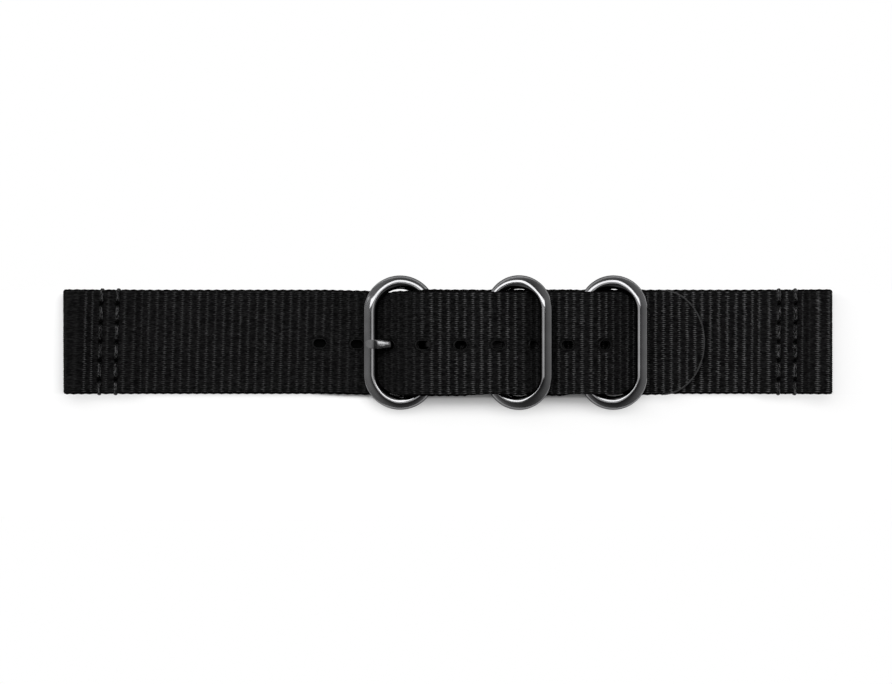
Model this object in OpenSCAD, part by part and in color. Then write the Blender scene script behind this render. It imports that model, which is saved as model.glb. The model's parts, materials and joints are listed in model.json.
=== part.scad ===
// Two-piece webbing watch strap, fastened and lying flat.
// All lengths are millimetres. The strap runs along X, its width along Y, and it lies on Z = 0.
// The driving datum is the axis of the buckle's held bar. The whole strap is then centred on X.

/* [Webbing] */
// Width of the webbing
strap_w = 19.8; // [17.8:0.2:23.8]
// Thickness of one ply
web_t = 1.3; // [1.1:0.05:1.5]
// Air left between two plies that lie on each other
ply_gap = 0.1; // [0.06:0.01:0.15]

/* [Short piece] */
// Buckle bar axis to the lug end of the short piece
short_l = 76.5; // [70:0.5:95]
// Buckle bar axis to the first keeper's held bar
keeper_1_x = 11.8; // [11:0.1:14]
// Buckle bar axis to the second keeper's held bar
keeper_2_x = 29.5; // [28:0.1:34]
// Distance from a keeper's held bar to the stitch row beside it
row_beside_bar = 5; // [4.8:0.1:5.6]
// Length of the returned ply past the last stitch row
return_end = 1.2; // [0.8:0.1:2]

/* [Long piece] */
// Lug end to tip along the webbing
long_l = 125.5; // [120:0.5:150]
// Lug end to the first hole
first_hole = 48.7; // [44:0.1:60]
// Distance between holes along the webbing
hole_pitch = 7.1; // [6.5:0.1:8]
// Number of holes
hole_count = 9; // [5:1:10]
// Hole that the tongue is in, counted from the lug end
hole_in_use = 3; // [2:1:4]
// Length of a hole along the webbing
hole_l = 2.6; // [2.3:0.1:3.2]
// Width of a hole
hole_w = 1.8; // [1.76:0.02:2.2]
// Sideways offset of the hole row and the tongue
hole_row_y = -0.3; // [-0.6:0.1:0.6]
// Length of the rounded tip
tip_l = 8.1; // [6:0.1:11]

/* [Rings] */
// Diameter of the ring wire
wire_d = 2.6; // [2.2:0.1:2.8]
// Bar axis to bar axis of the buckle ring
buckle_reach = 11.3; // [10.8:0.1:12.5]
// Bar axis to bar axis of a keeper ring
keeper_reach = 10.6; // [10.2:0.1:11.6]
// Side clearance between the webbing and a ring
ring_side_clear = 0.25; // [0.2:0.05:0.5]
// Running clearance of the wire against the webbing
wire_clear = 0.05; // [0.04:0.01:0.08]
// Slack of the webbing pocket over a held bar
pocket_slack = 0.25; // [0.2:0.05:0.35]
// Swing of a keeper ring up and over from where it rests
keeper_swing = 120; // [60:5:120]

/* [Tongue] */
// Width of the tongue's tip and loop
tongue_w = 1.7; // [1.5:0.05:2]
// Width of the tongue where it passes the hole
tongue_neck_w = 1.3; // [1.1:0.05:1.4]
// Distance of the tongue from the middle of its hole, towards the lug end
tongue_play = 0.3; // [0.1:0.05:0.4]
// Thickness of the tongue
tongue_t = 0.95; // [0.8:0.05:1]
// Thickness of the flattened tip
tongue_tip_t = 0.5; // [0.4:0.05:0.6]
// Wall of the loop round the held bar
tongue_loop_t = 0.8; // [0.6:0.05:0.9]
// Running clearance of the loop on the bar
tongue_loop_clear = 0.06; // [0.04:0.01:0.09]
// Clearance of the tongue in the slot of the fold
tongue_slot_clear = 0.3; // [0.2:0.05:0.6]

/* [Lug loops] */
// Bore of the loop for the watch's spring bar
lug_bore_d = 2; // [1.7:0.1:2.2]
// Lug end to the end of the turned-back tab
tab_l = 11.9; // [11.6:0.1:14]
// Lug end to the first stitch row
lug_row_1 = 7.1; // [7:0.1:7.6]
// Lug end to the second stitch row
lug_row_2 = 10.2; // [9.6:0.1:10.6]

/* [Stitching] */
// Thread diameter
thread_d = 0.5; // [0.4:0.05:0.6]
// Clearance of a thread in its hole and groove
thread_clear = 0.1; // [0.06:0.01:0.15]
// Distance between needle holes
stitch_pitch = 3.6; // [3.2:0.1:4]
// Needle holes in a row
stitch_count = 5; // [3:2:5]

/* [Lay of the webbing] */
// Distance from the buckle's free bar to the foot of the ramp
ramp_foot = 1; // [0.9:0.05:1.4]
// Distance from the held bar to the knee of the ramp
ramp_knee = 4.6; // [4:0.1:5]
// Slope of the long piece over the buckle fold
slope_over_fold = 20; // [16:1:24]
// Slope of the sag between the fold and the first keeper
slope_of_sag = 5; // [3:1:8]
// Slope of the long piece down from the first keeper's bar
slope_keeper_1 = 14; // [10:1:18]
// Slope of the long piece down from the second keeper's bar
slope_keeper_2 = 24; // [20:1:26]
// Width of the steep drop in front of a keeper's free bar
drop_run = 1.7; // [1.4:0.1:2]
// Steep drop's foot to the first keeper's free bar
drop_foot_1 = 2.2; // [1.9:0.1:2.5]
// Steep drop's foot to the second keeper's free bar
drop_foot_2 = 1.3; // [1.2:0.1:1.6]
// Slope of a keeper pocket's flanks
pocket_slope = 55; // [50:1:60]

/* [Hidden] */

webbing_colour = "#1d1d1f";
thread_colour = "#323234";
steel_colour = "#56575a";
arc_step = 9;
curve_fn = 64;
wire_r = wire_d / 2;

// Heights of a ply's middle: on the table, on one ply and on two plies
ply_rise = web_t + ply_gap;
z_1 = web_t / 2;
z_2 = z_1 + ply_rise;
z_3 = z_2 + ply_rise;

// Every held bar lies on the lower ply
bar_z = web_t + wire_clear + wire_r;
buckle_axis = [0, bar_z];
keeper_1_axis = [keeper_1_x, bar_z];
keeper_2_axis = [keeper_2_x, bar_z];

// Pocket of the short piece over a held bar, and the long piece over the pocket
pocket_r = wire_r + pocket_slack + web_t / 2;
over_r = pocket_r + ply_rise;

// Fold of the short piece round the buckle's held bar
fold_top = bar_z + pocket_r;
fold_r = (fold_top - z_1) / 2;
fold_back = 0.15;
fold_axis = [-fold_back, z_1 + fold_r];
fold_over_r = fold_r + ply_rise;

// Rings: the straight bars, the round ends and the tilt at which a keeper rests
inner_w = strap_w + 2 * ring_side_clear;
buckle_end_r = buckle_reach / 2;
keeper_end_r = keeper_reach / 2;
buckle_bar_l = inner_w - 2 * (buckle_end_r - wire_r);
keeper_bar_l = inner_w - 2 * (keeper_end_r - wire_r);
keeper_1_tilt = resting_tilt(z_3 + web_t / 2);
keeper_2_tilt = resting_tilt(z_2 + web_t / 2);
free_bar_1_x = keeper_1_x + keeper_reach * cos(keeper_1_tilt);
free_bar_2_x = keeper_2_x + keeper_reach * cos(keeper_2_tilt);
below_wire_angle = 8.6;
past_wire_angle = 10;
relief_clear = 2 * wire_clear;
relief_reach = 4.6;

// Lug loop: the ply turned round the spring bar's bore
lug_r = lug_bore_d / 2 + web_t;
lug_mid_r = lug_r - web_t / 2;
lug_neck = 0.6;
lug_neck_run = 3.2;
tab_ramp_start = 0.9;
tab_ramp_end = 3;

// Stitch rows of the short piece's folded part
fold_row_x = keeper_1_x - row_beside_bar - 0.8;
keeper_1_row_x = keeper_1_x + row_beside_bar;
keeper_2_row_1_x = keeper_2_x - row_beside_bar;
keeper_2_row_2_x = keeper_2_x + row_beside_bar;
return_x = keeper_2_row_2_x + return_end;
pair_h = 2 * web_t + ply_gap;
groove_w = thread_d + 2 * thread_clear;
groove_h = thread_d + 0.02;
leg_end_gap = 0.06;

// Heading of the line from p to q, and the signed turn between two headings
function heading(p, q) = atan2(q[1] - p[1], q[0] - p[0]);
function turn(a, b) = b - a > 180 ? b - a - 360 : b - a < -180 ? b - a + 360 : b - a;

// Where a line through p at slope a meets a line through q at slope b
function meet(p, a, q, b) =
    let (x = (q[1] - p[1] + p[0] * tan(a) - q[0] * tan(b)) / (tan(a) - tan(b)))
    [x, p[1] + (x - p[0]) * tan(a)];

// Corner of the two lines that touch a circle at slope a on its left and slope b on its right
function crest(centre, r, a, b) =
    centre + r / cos((a + b) / 2) * [sin((b - a) / 2), cos((b - a) / 2)];

// Where a line that leaves the circle at slope a has come down to height z, on side s
function crest_foot(centre, r, a, z, s) =
    [centre[0] + s * (r * sin(a) + (centre[1] + r * cos(a) - z) / tan(a)), z];

// Height at x of the line that leaves the circle at slope a on side s
function crest_line(centre, r, a, x, s) =
    centre[1] + r * cos(a) - (s * (x - centre[0]) - r * sin(a)) * tan(a);

// Slope of the line from p that touches the top of a circle further along
function rise_to(p, centre, r) = heading(p, centre) + asin(r / norm(centre - p));

// Length that the rounding of corner i wants on each of its two runs
function wanted(v, i) =
    i == 0 || i == len(v) - 1 ? 0 :
    v[i][2] * tan(abs(turn(heading(v[i - 1], v[i]), heading(v[i], v[i + 1]))) / 2);

// Share of its wanted length that corner i gets, where its runs are too short for both their corners
function share(v, i) =
    min([for (k = [i - 1, i]) min(1, spacing(v[k], v[k + 1]) / max(0.001, wanted(v, k) + wanted(v, k + 1)))]);

// Rounded corner i of a bent line: points with their heading
function corner(v, i) =
    let (
        p = [v[i - 1][0], v[i - 1][1]],
        c = [v[i][0], v[i][1]],
        q = [v[i + 1][0], v[i + 1][1]],
        h = heading(p, c),
        a = turn(h, heading(c, q)),
        s = sign(a),
        r = v[i][2] * share(v, i),
        start = c - r * tan(abs(a) / 2) * [cos(h), sin(h)],
        centre = start + s * r * [-sin(h), cos(h)],
        n = max(1, ceil(abs(a) / arc_step))
    )
    abs(a) < 0.5 ? [[c[0], c[1], h]] :
    [for (k = [0:n]) let (g = h + a * k / n)
        [centre[0] + s * r * sin(g), centre[1] - s * r * cos(g), g]];

// Bent line from corners [x, z, radius]: a list of [x, z, heading] without doubled points
function bent(v) =
    let (
        last = len(v) - 1,
        all = concat(
            [[v[0][0], v[0][1], heading(v[0], v[1])]],
            [for (i = [1:last - 1]) each corner(v, i)],
            [[v[last][0], v[last][1], heading(v[last - 1], v[last])]]
        )
    )
    [for (i = [0:len(all) - 1]) if (i == 0 || spacing(all[i - 1], all[i]) > 0.002) all[i]];

function spacing(p, q) = norm([q[0] - p[0], q[1] - p[1]]);
function lengths(path) =
    [for (i = 0, s = 0; i < len(path); s = s + spacing(path[i], path[min(i + 1, len(path) - 1)]), i = i + 1) s];

// Point and heading at the distance s along a bent line
function along(path, runs, s) =
    let (
        i = max([for (k = [0:len(path) - 2]) if (k == 0 || runs[k] <= s) k]),
        f = (s - runs[i]) / (runs[i + 1] - runs[i]),
        a = path[i],
        b = path[i + 1]
    )
    [a[0] + f * (b[0] - a[0]), a[1] + f * (b[1] - a[1]), a[2] + f * turn(a[2], b[2])];

// Distance along a bent line at which it passes x
function run_at_x(path, runs, x) =
    let (
        i = max([for (k = [0:len(path) - 2]) if (k == 0 || path[k][0] <= x) k]),
        f = (x - path[i][0]) / (path[i + 1][0] - path[i][0])
    )
    runs[i] + f * (runs[i + 1] - runs[i]);

// First part of a bent line, up to the distance s
function first_part(path, runs, s) =
    concat([for (i = [0:len(path) - 1]) if (runs[i] < s - 0.01) path[i]], [along(path, runs, s)]);

// Outline of a ply: the bent line moved half a thickness to each side
function beside(path, d) = [for (p = path) [p[0] - d * sin(p[2]), p[1] + d * cos(p[2])]];
function ply_outline(path, t) =
    let (n = len(path) - 1, lower = beside(path, -t / 2))
    concat(beside(path, t / 2), [for (i = [n:-1:0]) lower[i]]);

// Tilt at which a keeper's wire just clears a long piece whose top lies at the height top
function resting_tilt(top) =
    max([for (f = [0.5:0.02:1])
        let (
            d = f * keeper_reach,
            side = keeper_bar_l / 2 + sqrt(max(0, pow(keeper_end_r, 2) - pow(keeper_end_r - d, 2))),
            past = max(0, side - strap_w / 2),
            r = wire_r + wire_clear,
            lift = past >= r ? 0 : sqrt(r * r - past * past)
        )
        past >= r ? 0 : asin((top + lift - bar_z) / d)]);

// Corners of a lug loop and its neck, mirrored for the left end by s = -1
function lug_corners(end, s) = [
    [end - s * tab_l, z_1, 0],
    [end - s * web_t / 2, z_1, lug_mid_r],
    [end - s * web_t / 2, z_1 + 2 * lug_mid_r, lug_mid_r],
    [end - s * (lug_r + lug_neck), z_1 + 2 * lug_mid_r, lug_mid_r],
    [end - s * (lug_r + lug_neck_run), z_2, 2.2],
    [end - s * (tab_l + tab_ramp_start), z_2, 2.5],
    [end - s * (tab_l + tab_ramp_end), z_1, 2.5]
];

// Corners of the short piece's pocket over a keeper's held bar, from right to left
function pocket_corners(axis) = [
    concat(crest_foot(axis, pocket_r, pocket_slope, z_2, 1), 1.6),
    concat(crest(axis, pocket_r, pocket_slope, pocket_slope), pocket_r),
    concat(crest_foot(axis, pocket_r, pocket_slope, z_2, -1), 1.6)
];

// Short piece: from its tab round the lug loop, over both pockets, round the buckle bar and back below
short_path = bent(concat(
    lug_corners(short_l, 1),
    [[return_x + 2.4, z_1, 2.5], [return_x + 0.6, z_2, 2.5]],
    pocket_corners(keeper_2_axis),
    pocket_corners(keeper_1_axis),
    [
        [3.4, z_2, 1.6],
        [0.9, fold_top, fold_r],
        [fold_axis[0] - fold_r, fold_top, fold_r],
        [fold_axis[0] - fold_r, z_1, fold_r],
        [return_x, z_1, 0]
    ]
));

// Long piece, from the table under the free bar up the ramp and over the three held bars
foot = [ramp_foot - buckle_reach, z_1];
knee = [-ramp_knee, crest_line(fold_axis, fold_over_r, slope_over_fold, -ramp_knee, -1)];
ramp_slope = heading(foot, knee);
fold_crest = crest(fold_axis, fold_over_r, slope_over_fold, slope_of_sag);
crest_1 = crest(keeper_1_axis, over_r, slope_of_sag, slope_keeper_1);
sag = meet(fold_crest, -slope_of_sag, crest_1, slope_of_sag);
drop_1 = [free_bar_1_x - drop_foot_1, z_3];
edge_1 = [drop_1[0] - drop_run, crest_line(keeper_1_axis, over_r, slope_keeper_1, drop_1[0] - drop_run, 1)];
lift_1 = [free_bar_1_x, z_3];
crest_2 = crest(keeper_2_axis, over_r, rise_to(lift_1, keeper_2_axis, over_r), slope_keeper_2);
drop_2 = [free_bar_2_x - drop_foot_2, z_2];
edge_2 = [drop_2[0] - drop_run, crest_line(keeper_2_axis, over_r, slope_keeper_2, drop_2[0] - drop_run, 1)];
ramp_corners = [
    concat(foot, 2),
    concat(knee, 3),
    concat(fold_crest, fold_over_r),
    concat(sag, 12),
    concat(crest_1, over_r),
    concat(edge_1, 2),
    concat(drop_1, 2),
    concat(lift_1, 4),
    concat(crest_2, over_r),
    concat(edge_2, 2),
    concat(drop_2, 2),
    [short_l, z_2, 0]
];

// The tongue stands in its hole square to the ramp, which settles where the long piece's lug end lies
tongue_hole = [3.6 - buckle_reach, z_1 + (3.6 - ramp_foot) * tan(ramp_slope)];
table_start = foot[0] - 5;
table_path = bent(concat([[table_start, z_1, 0]], ramp_corners));
tongue_run = run_at_x(table_path, lengths(table_path), tongue_hole[0]);
long_end = table_start + tongue_run + tongue_play - first_hole - (hole_in_use - 1) * hole_pitch;
lay_path = bent(concat([[long_end, z_1, 0]], ramp_corners));
lay_runs = lengths(lay_path);
tip = along(lay_path, lay_runs, long_l);
long_path = let (full = bent(concat(lug_corners(long_end, -1), ramp_corners)), runs = lengths(full))
    first_part(full, runs, run_at_tip(full, runs, tip[0] + 0.5));

// Distance along a bent line at which its last stretch passes x
function run_at_tip(path, runs, x) = runs[len(runs) - 1] - (path[len(path) - 1][0] - x);

// Shift that centres the whole strap on X
centre_shift = -(long_end + short_l) / 2;

// Tongue: shank tangent to the loop, elbow below the hole, crest and tip on the free bar
loop_r = wire_r + tongue_loop_clear + tongue_loop_t;
shank_z = bar_z - loop_r + tongue_t / 2;
tip_z = bar_z + wire_r + 0.03 + tongue_t / 2;
tongue_rise = ramp_slope + 90;
elbow = meet(tongue_hole, tongue_rise, [0, shank_z], 0);
tongue_crest = meet(tongue_hole, tongue_rise, [0, tip_z + 0.32], 0);
tongue_end_x = -buckle_reach - wire_r + 0.45;
tongue_path = bent([
    [tongue_end_x, tip_z, 0],
    [tongue_crest[0] - 1.5, tip_z, 1],
    [tongue_crest[0], tongue_crest[1], 0.8],
    [elbow[0], elbow[1], 1.3],
    [0, shank_z, 0]
]);

echo("long lug end", long_end + centre_shift, "short lug end", short_l + centre_shift);
echo("buckle bar x", centre_shift, "z", bar_z);
echo("keeper bars x", keeper_1_x + centre_shift, keeper_2_x + centre_shift);
echo("keeper tilts", keeper_1_tilt, keeper_2_tilt, "ramp slope", ramp_slope);
echo("holes x", [for (i = [0:hole_count - 1])
    along(lay_path, lay_runs, first_hole + i * hole_pitch)[0] + centre_shift]);
echo("tip x", tip[0] + centre_shift);

// A flat outline in X and Z, thickened along Y about the middle
module thick_y(w) {
    rotate([90, 0, 0]) linear_extrude(height = w, center = true) children();
}

// A closed ring of round wire from the held bar at the origin to the free bar at +X
module wire_ring(reach, bar_l) {
    end_r = reach / 2;
    for (x = [0, reach])
        translate([x, 0, 0]) rotate([90, 0, 0]) cylinder(r = wire_r, h = bar_l, center = true, $fn = curve_fn);
    for (s = [1, -1])
        translate([end_r, s * bar_l / 2, 0]) rotate([0, 0, s > 0 ? 0 : 180])
            rotate_extrude(angle = 180, $fn = curve_fn) translate([end_r, 0]) circle(r = wire_r, $fn = curve_fn);
}

// Space that a ring's round ends sweep outside its inner outline, out to the radius reach
module swept_profile(end_r, bar_l, reach) {
    inner_r = end_r - wire_r - relief_clear;
    for (s = [1, -1])
        difference() {
            translate([0, s > 0 ? bar_l / 2 : -bar_l / 2 - inner_r - 1]) square([reach, inner_r + 1]);
            translate([end_r, s * bar_l / 2]) circle(r = inner_r, $fn = curve_fn);
        }
}

module swept(axis, end_r, bar_l, reach, from, to) {
    translate([axis[0], 0, axis[1]]) rotate([90, 0, 0]) rotate([0, 0, from])
        rotate_extrude(angle = to - from, $fn = curve_fn) swept_profile(end_r, bar_l, reach);
}

// Relief round a held bar, above the ply that the bar lies on
module bar_relief(axis, end_r, bar_l) {
    intersection() {
        swept(axis, end_r, bar_l, relief_reach, 0, 360);
        translate([axis[0] - 10, -strap_w, web_t + ply_gap / 2]) cube([20, 2 * strap_w, 20]);
    }
}

// Relief in the long piece for the whole swing of a keeper
module swing_relief(axis, tilt) {
    swept(axis, keeper_end_r, keeper_bar_l, keeper_reach + wire_r + relief_clear,
        tilt - below_wire_angle, tilt + keeper_swing + past_wire_angle);
}

// Relief where the ramp rises through the round ends of the buckle at its free bar
module ramp_relief() {
    for (s = [1, -1])
        difference() {
            translate([-buckle_reach, s > 0 ? buckle_bar_l / 2 : -strap_w, web_t + ply_gap / 2])
                cube([buckle_end_r, strap_w - buckle_bar_l / 2, 10]);
            translate([-buckle_end_r, s * buckle_bar_l / 2, 0])
                cylinder(r = buckle_end_r - wire_r - relief_clear, h = 20, $fn = curve_fn);
        }
}

// Oval hole square to the ply at a point [x, z, heading] of its path
module oval_hole(at, l, w) {
    translate([at[0], hole_row_y, at[1]]) rotate([0, -at[2], 0]) {
        for (s = [1, -1])
            translate([s * (l - w) / 2, 0, 0]) cylinder(d = w, h = 3 * web_t, center = true, $fn = curve_fn);
        cube([l - w, w, 3 * web_t], center = true);
    }
}

// Needle holes and thread grooves of one stitch row through two plies
module row_cuts(x, run_w) {
    for (i = [0:stitch_count - 1])
        translate([x, (i - (stitch_count - 1) / 2) * stitch_pitch, -1])
            cylinder(d = groove_w, h = pair_h + 2, $fn = 24);
    for (z = [-1, pair_h - groove_h])
        translate([x - groove_w / 2, -run_w / 2, z]) cube([groove_w, run_w, groove_h + 1]);
}

// One thread of a row: a run along Y with a leg down each needle hole, s = 1 above and -1 below
module row_thread(x, s, wraps) {
    mid = pair_h / 2;
    run_z = mid + s * (mid - thread_d / 2 - 0.01);
    leg_h = abs(run_z - mid) - leg_end_gap;
    edge_y = strap_w / 2 + thread_clear / 2 + thread_d / 2;
    hole_y = (stitch_count - 1) / 2 * stitch_pitch;
    reach_y = wraps ? edge_y : hole_y;
    leg_ys = concat(
        [for (i = [0:stitch_count - 1]) -hole_y + i * stitch_pitch],
        wraps ? [-edge_y, edge_y] : []
    );
    color(thread_colour) {
        translate([x, 0, run_z]) rotate([90, 0, 0])
            cylinder(d = thread_d, h = 2 * reach_y, center = true, $fn = 24);
        for (y = leg_ys)
            translate([x, y, s > 0 ? run_z - leg_h : run_z]) cylinder(d = thread_d * 0.9, h = leg_h, $fn = 24);
    }
}

module lug_bore(end, s) {
    translate([end - s * lug_r, 0, lug_r]) rotate([90, 0, 0])
        cylinder(d = lug_bore_d, h = strap_w + 2, center = true, $fn = curve_fn);
}

module lug_wall(end, s) {
    translate([end - s * lug_r, 0, lug_r]) rotate([90, 0, 0])
        cylinder(r = lug_r - 0.01, h = strap_w, center = true, $fn = curve_fn);
}

// Width outline of the long piece with its elliptical tip
module long_plan() {
    arc = [for (a = [90:-6:-90]) [tip[0] - tip_l + tip_l * cos(a), strap_w / 2 * sin(a)]];
    translate([0, 0, -1]) linear_extrude(height = 20)
        polygon(concat([[long_end - 1, -strap_w / 2], [long_end - 1, strap_w / 2]], arc));
}

// The whole strap centred on X
module placed() {
    translate([centre_shift, 0, 0]) children();
}

module long_strap() {
    color(webbing_colour) difference() {
        union() {
            intersection() {
                thick_y(2 * strap_w) polygon(ply_outline(long_path, web_t));
                long_plan();
            }
            lug_wall(long_end, -1);
        }
        lug_bore(long_end, -1);
        for (row = [lug_row_1, lug_row_2]) row_cuts(long_end + row, 2 * strap_w);
        for (i = [0:hole_count - 1])
            oval_hole(along(lay_path, lay_runs, first_hole + i * hole_pitch), hole_l, hole_w);
        bar_relief(buckle_axis, buckle_end_r, buckle_bar_l);
        bar_relief(keeper_1_axis, keeper_end_r, keeper_bar_l);
        bar_relief(keeper_2_axis, keeper_end_r, keeper_bar_l);
        ramp_relief();
        swing_relief(keeper_1_axis, keeper_1_tilt);
        swing_relief(keeper_2_axis, keeper_2_tilt);
    }
}

module short_strap() {
    color(webbing_colour) difference() {
        union() {
            thick_y(strap_w) polygon(ply_outline(short_path, web_t));
            lug_wall(short_l, 1);
        }
        lug_bore(short_l, 1);
        for (row = [lug_row_1, lug_row_2]) row_cuts(short_l - row, 2 * strap_w);
        for (x = [fold_row_x, keeper_1_row_x, keeper_2_row_1_x, keeper_2_row_2_x])
            row_cuts(x, (stitch_count - 1) * stitch_pitch + groove_w);
        bar_relief(buckle_axis, buckle_end_r, buckle_bar_l);
        bar_relief(keeper_1_axis, keeper_end_r, keeper_bar_l);
        bar_relief(keeper_2_axis, keeper_end_r, keeper_bar_l);
        translate([fold_axis[0] - fold_r - web_t, hole_row_y - tongue_w / 2 - tongue_slot_clear, -1])
            cube([
                fold_r + web_t + loop_r + tongue_slot_clear + fold_back,
                tongue_w + 2 * tongue_slot_clear,
                20
            ]);
    }
}

module buckle_ring() {
    color(steel_colour) translate([0, 0, bar_z]) rotate([0, 0, 180]) wire_ring(buckle_reach, buckle_bar_l);
}

module keeper_ring(axis, tilt) {
    color(steel_colour) translate([axis[0], 0, axis[1]]) rotate([0, -tilt, 0])
        wire_ring(keeper_reach, keeper_bar_l);
}

// Round-ended strip that the tongue is cut from, seen from above
module tongue_plan() {
    half = [[tongue_end_x + tongue_w / 2, tongue_w / 2], [tongue_crest[0], tongue_w / 2],
        [tongue_hole[0] - 0.5, tongue_neck_w / 2], [loop_r, tongue_neck_w / 2]];
    translate([tongue_end_x + tongue_w / 2, 0, -1]) cylinder(d = tongue_w, h = 20, $fn = curve_fn);
    translate([0, 0, -1]) linear_extrude(height = 20)
        polygon(concat(half, [for (i = [3:-1:0]) [half[i][0], -half[i][1]]]));
}

module buckle_tongue() {
    step_x = tongue_crest[0] - 1.1;
    color(steel_colour) translate([0, hole_row_y, 0]) difference() {
        union() {
            intersection() {
                thick_y(2 * tongue_w) difference() {
                    polygon(ply_outline(tongue_path, tongue_t));
                    polygon([
                        [tongue_end_x - 1, tip_z - tongue_t / 2 + tongue_tip_t],
                        [step_x - 0.5, tip_z - tongue_t / 2 + tongue_tip_t],
                        [step_x + 0.2, tip_z + tongue_t],
                        [tongue_end_x - 1, tip_z + tongue_t]
                    ]);
                }
                tongue_plan();
            }
            translate([0, 0, bar_z]) rotate([90, 0, 0])
                cylinder(r = loop_r, h = tongue_w, center = true, $fn = curve_fn);
        }
        translate([0, 0, bar_z]) rotate([90, 0, 0])
            cylinder(r = wire_r + tongue_loop_clear, h = 3 * tongue_w, center = true, $fn = curve_fn);
    }
}

placed() long_strap();
placed() short_strap();
placed() buckle_ring();
placed() buckle_tongue();
placed() keeper_ring(keeper_1_axis, keeper_1_tilt);  // keeper_ring_1
placed() keeper_ring(keeper_2_axis, keeper_2_tilt);  // keeper_ring_2
placed() row_thread(long_end + lug_row_1, 1, true);  // long_lug_needle_thread_1
placed() row_thread(long_end + lug_row_1, -1, true);  // long_lug_bobbin_thread_1
placed() row_thread(long_end + lug_row_2, 1, true);  // long_lug_needle_thread_2
placed() row_thread(long_end + lug_row_2, -1, true);  // long_lug_bobbin_thread_2
placed() row_thread(short_l - lug_row_1, 1, true);  // short_lug_needle_thread_1
placed() row_thread(short_l - lug_row_1, -1, true);  // short_lug_bobbin_thread_1
placed() row_thread(short_l - lug_row_2, 1, true);  // short_lug_needle_thread_2
placed() row_thread(short_l - lug_row_2, -1, true);  // short_lug_bobbin_thread_2
placed() row_thread(fold_row_x, 1, false);  // fold_needle_thread
placed() row_thread(fold_row_x, -1, false);  // fold_bobbin_thread
placed() row_thread(keeper_1_row_x, 1, false);  // keeper_1_needle_thread
placed() row_thread(keeper_1_row_x, -1, false);  // keeper_1_bobbin_thread
placed() row_thread(keeper_2_row_1_x, 1, false);  // keeper_2_needle_thread_1
placed() row_thread(keeper_2_row_1_x, -1, false);  // keeper_2_bobbin_thread_1
placed() row_thread(keeper_2_row_2_x, 1, false);  // keeper_2_needle_thread_2
placed() row_thread(keeper_2_row_2_x, -1, false);  // keeper_2_bobbin_thread_2
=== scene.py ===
import bpy
import math
import numpy as np
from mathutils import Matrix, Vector
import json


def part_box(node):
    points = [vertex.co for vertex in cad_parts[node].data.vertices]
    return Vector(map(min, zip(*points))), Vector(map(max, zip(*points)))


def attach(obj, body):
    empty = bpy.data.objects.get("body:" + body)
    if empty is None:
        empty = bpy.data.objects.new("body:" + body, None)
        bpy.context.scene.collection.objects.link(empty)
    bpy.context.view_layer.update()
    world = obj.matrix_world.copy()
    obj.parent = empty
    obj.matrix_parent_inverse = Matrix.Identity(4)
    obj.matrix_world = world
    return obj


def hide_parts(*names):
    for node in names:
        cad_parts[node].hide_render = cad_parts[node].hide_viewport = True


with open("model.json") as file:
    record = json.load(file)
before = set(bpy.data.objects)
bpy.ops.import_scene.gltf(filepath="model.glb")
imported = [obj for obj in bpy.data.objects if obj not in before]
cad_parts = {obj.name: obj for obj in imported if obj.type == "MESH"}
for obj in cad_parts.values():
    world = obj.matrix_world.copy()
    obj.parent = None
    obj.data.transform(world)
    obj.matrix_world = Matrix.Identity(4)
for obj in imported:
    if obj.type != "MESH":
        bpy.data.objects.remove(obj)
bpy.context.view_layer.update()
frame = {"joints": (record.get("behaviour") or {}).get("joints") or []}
print("stage: frame loaded")

mm = 0.001

# what the frame fixes, in millimetres; every x after this is counted from the buckle's held bar
barX, _, barZ = [v / mm for v in frame["joints"][0]["pos_m"]]
keeperX = [j["pos_m"][0] / mm - barX for j in frame["joints"][2:4]]


def nodeBox(node):
    low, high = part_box(node)
    return [v / mm for v in low], [v / mm for v in high]


longLow, longHigh = nodeBox("long_strap")
shortHigh = nodeBox("short_strap")[1]
ringLow, ringHigh = nodeBox("buckle_ring")
longEnd = longLow[0] - barX
shortEnd = shortHigh[0] - barX
wireD = ringHigh[2] - ringLow[2]
wireR = wireD / 2

webbing = {
    "width": longHigh[1] - longLow[1],
    "thick": 1.3,
    "gap": 0.1,
    "ribRows": 4,       # mesh rows in one rib
    "ribDepth": 0.18,
    "yarn": 0.38,       # one warp yarn
    "yarnDepth": 0.085,
    "zigzag": 0.05,     # alternate yarns sit before and behind the rib's middle
    "slant": 0.05,      # each yarn's float crosses the rib at a slant
    "slantEnd": 9.4, "slantFade": 0.4,
    "edge": 0.3, "edgeBulge": (0.19, 0.42),
    "scallop": 0.06,    # the weft's turns at the edges
    "overhang": 0.03,
    "uneven": 0.018,
}

# how the two pieces lie: places and runs in millimetres, slopes in degrees, and the radii of the soft bends
lay = {
    "pocketR": wireR + 0.25 + webbing["thick"] / 2,
    "rampFoot": 1.0, "knee": 4.6, "overFold": 20, "sag": 5,
    "keeperSlope": [14, 24], "dropRun": 1.7, "dropFoot": [2.2, 1.3],
    "pocketSlope": 55, "foldBack": 0.15, "foldTopX": 0.9, "foldFoot": 3.4,
    "returnX": 35.7, "returnRamp": (2.4, 0.6),
    "boreR": 1.0, "tab": 11.9, "neck": 0.6, "neckRun": 3.2, "tabStart": 0.9, "tabEnd": 3,
    "neckBend": 2.2, "tabBend": 2.5, "pocketBend": 1.6,
    "dropBend": 2, "kneeBend": 3, "sagBend": 12, "liftBend": 4,
}

ringReach = {"buckle": ringHigh[0] - ringLow[0] - wireD, "keeper": 10.6}
ringDrop = -0.15    # the rings sit this much to the near side of the webbing
sidePlay = 0.5
barLength = {kind: webbing["width"] + sidePlay - (reach - wireD) for kind, reach in ringReach.items()}


# the path of a bent ply

def heading(p, q):
    return math.atan2(q[1] - p[1], q[0] - p[0])


def turnBetween(a, b):
    return (b - a + math.pi) % (2 * math.pi) - math.pi


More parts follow.
